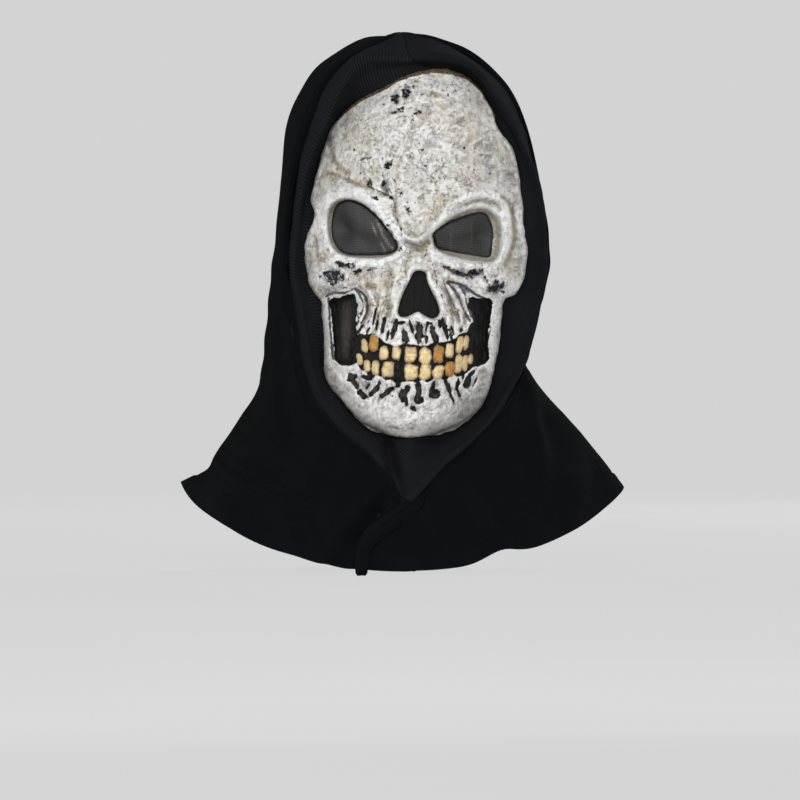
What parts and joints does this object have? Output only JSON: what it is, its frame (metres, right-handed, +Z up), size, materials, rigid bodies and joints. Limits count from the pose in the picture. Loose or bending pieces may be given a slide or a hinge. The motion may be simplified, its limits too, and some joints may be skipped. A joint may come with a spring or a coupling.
{
  "type": "hooded skull face mask",
  "caption": "Moulded latex skull face with mesh eyes, set into a black knitted hood with a short shoulder cape and an adjustable elastic strap inside.",
  "frame": {"origin": "the middle of the wearer's head at eye level, which is the middle of the head space inside the hood", "axes": "+Z up to the crown of the hood, the face looks along -Y, +X to the right as seen from in front of the face"},
  "size_m": [0.308, 0.2352, 0.379],
  "materials": {
    "bone_latex": "matt, painted",
    "see_through_mesh": "woven mesh",
    "black_knit": "fine stretch knit",
    "ribbed_knit": "diagonal rib",
    "black_thread": "overlock thread",
    "elastic": "woven elastic",
    "moulded_plastic": "satin",
    "raw_latex": "unpainted",
    "label_cloth": "satin tape, blank"
  },
  "bodies": {
    "mask": {"mask_shell": "bone_latex", "eye_mesh_left": "see_through_mesh", "eye_mesh_right": "see_through_mesh", "nose_mesh": "black_knit", "face_facing": "ribbed_knit", "hood_panel_left": "black_knit", "hood_panel_right": "black_knit", "centre_seam": "black_thread", "front_strip": "ribbed_knit", "neck_tack": "black_thread", "strap_tab_left": "moulded_plastic", "strap_tab_right": "moulded_plastic", "tab_patch_left": "raw_latex", "tab_patch_right": "raw_latex", "elastic_strap": "elastic", "care_label": "label_cloth"},
    "slider": {"strap_slider": "moulded_plastic"}
  },
  "joints": [
    {"name": "strap_adjust", "type": "slide", "parent": "mask", "child": "slider", "axis": [0, 1, 0], "range_m": [-0.016, 0.026]}
  ]
}
